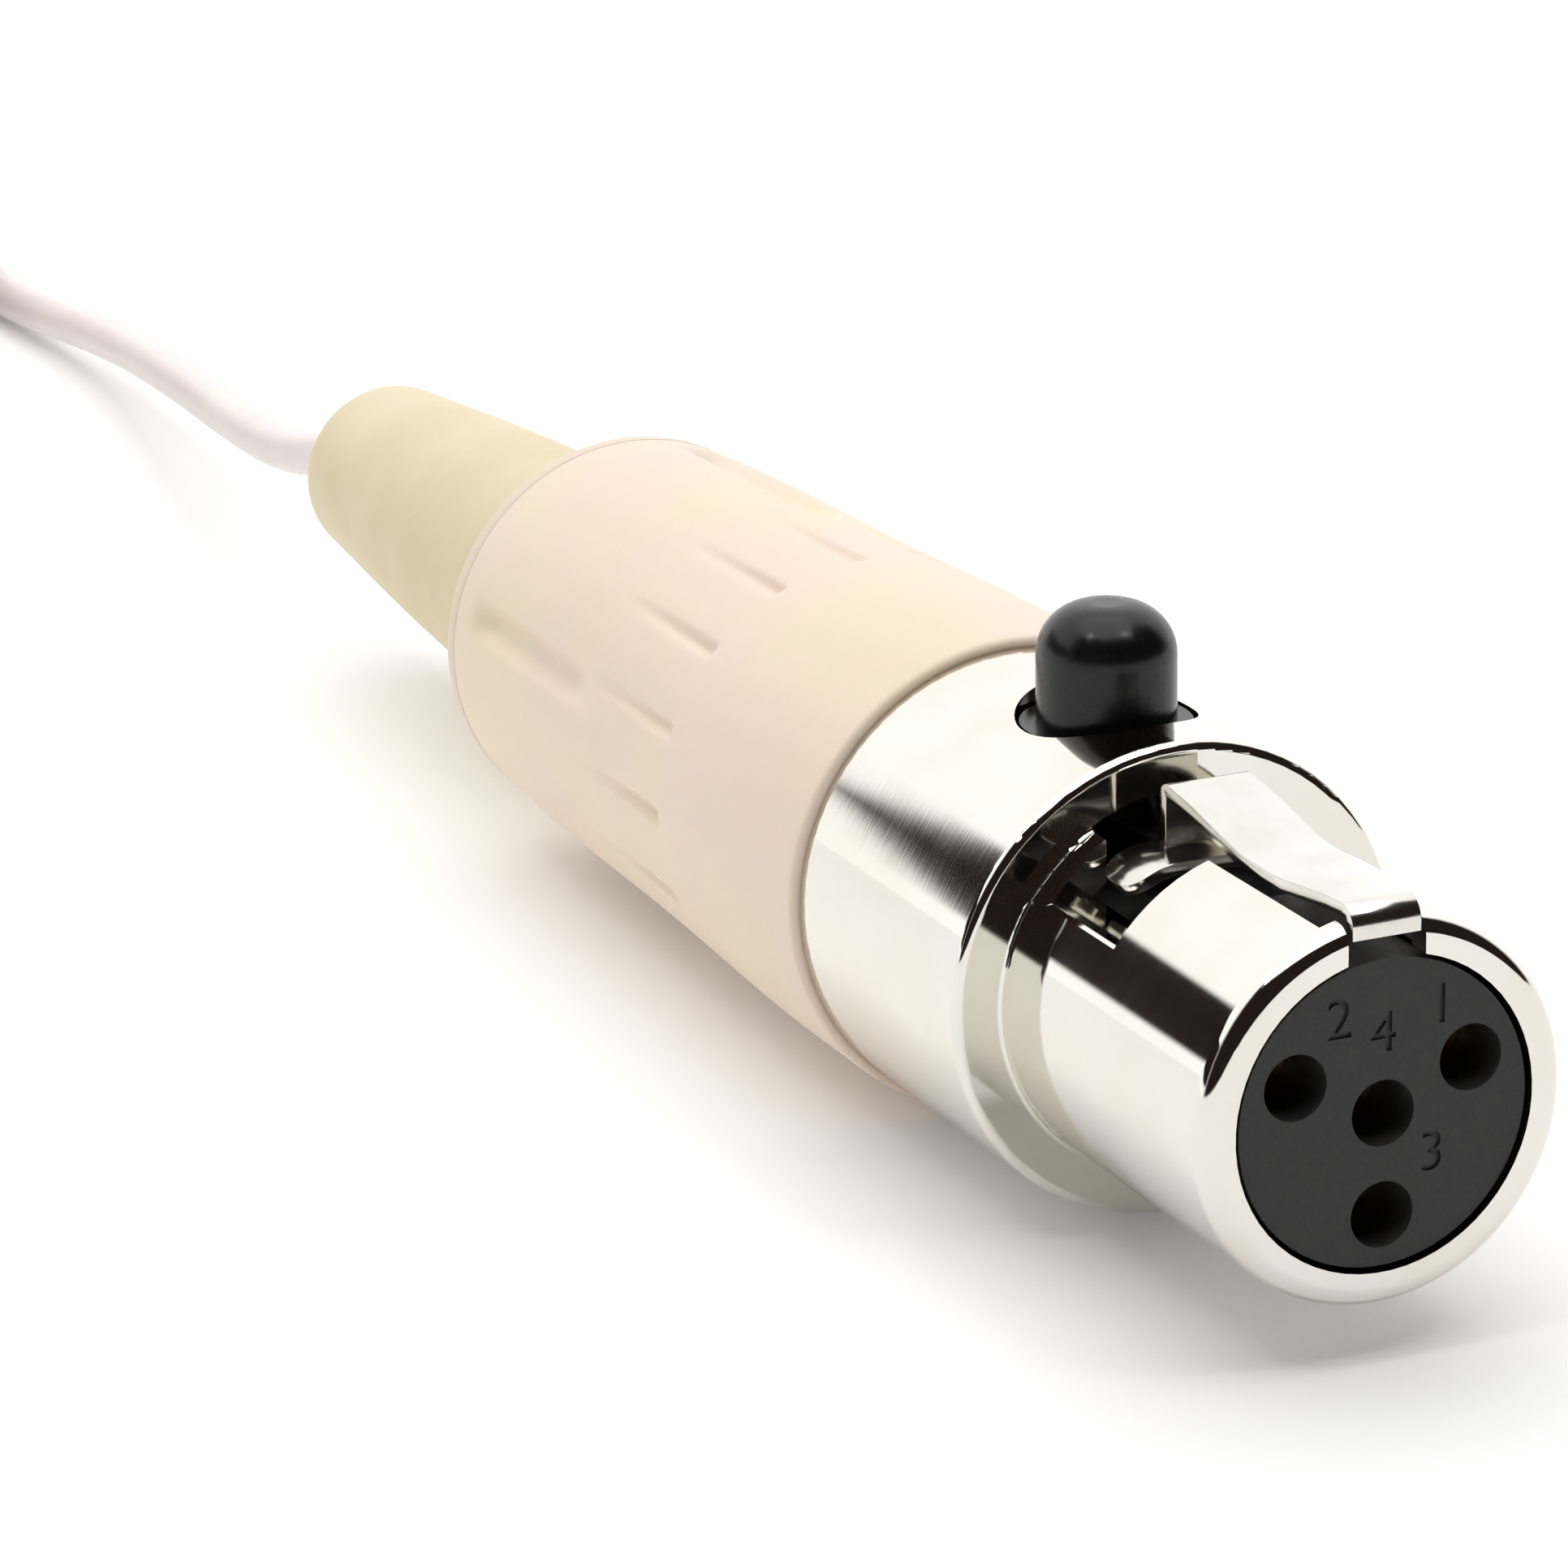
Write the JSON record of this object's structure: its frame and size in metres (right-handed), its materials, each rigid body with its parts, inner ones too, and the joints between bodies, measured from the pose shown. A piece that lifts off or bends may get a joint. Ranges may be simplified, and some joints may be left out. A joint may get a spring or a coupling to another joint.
{
  "type": "headset microphone lead",
  "caption": "Thin headset microphone lead with a latching miniature contact plug, cream boot and tapered strain relief, and a slim connector at its far end.",
  "frame": {"origin": "centre of the plug's front rim, on the plug's axis", "axes": "+X is the way the plug goes into its socket, +Z is the release button's side, +Y completes a right-handed frame"},
  "size_m": [0.1197, 0.0207, 0.0137],
  "materials": {
    "nickel": "bright nickel plate",
    "spring_steel": "bright rolled strip",
    "button_plastic": "satin black moulding",
    "insert_plastic": "fine matt moulding",
    "gold_plate": "bright gold plate",
    "boot_plastic": "satin cream moulding",
    "relief_rubber": "soft matt moulding",
    "cable_jacket": "soft satin sheath",
    "nylon": "natural moulding",
    "brass": "plain turned",
    "tinned_copper": "drawn",
    "solder": "frosted",
    "red_wire": "smooth",
    "white_wire": "smooth",
    "shrink": "satin",
    "hook_tape": "fine napped tape",
    "connector_steel": "satin turned"
  },
  "bodies": {
    "plug": {"plug_shell": "nickel", "contact_insert": "insert_plastic", "contact_1": "gold_plate", "contact_2": "gold_plate", "contact_3": "gold_plate", "contact_4": "gold_plate", "spacer_sleeve": "nylon", "cable_chuck": "nylon", "boot": "boot_plastic", "strain_relief": "relief_rubber", "crimp_ferrule": "brass", "grip_sleeve": "shrink", "inner_cable": "cable_jacket", "screen_wire": "tinned_copper", "bias_wire": "red_wire", "signal_wire": "white_wire", "link_wire": "tinned_copper", "solder_joints": "solder", "cup_sleeves": "shrink", "lead_cable": "cable_jacket", "lead_tail": "cable_jacket", "lead_coil": "cable_jacket", "coil_tie": "hook_tape", "end_relief": "cable_jacket", "end_body": "connector_steel", "end_insulator": "insert_plastic", "end_pins": "gold_plate"},
    "button": {"release_button": "button_plastic"},
    "latch": {"latch": "spring_steel"}
  },
  "joints": [
    {"name": "button_press", "type": "slide", "parent": "plug", "child": "button", "axis": [0, 0, -1], "range_m": [0, 0.0011], "stiffness_N_per_m": 1500, "springref_m": -0.0006},
    {"name": "latch_rock", "type": "hinge", "parent": "plug", "child": "latch", "pos_m": [-0.00017, 0, 0.0042], "axis": [0, -1, 0], "range_deg": [0, 5.1]}
  ],
  "couplings": [
    {"joint": "latch_rock", "follows": "button_press", "rad_per_m": 78.55}
  ]
}
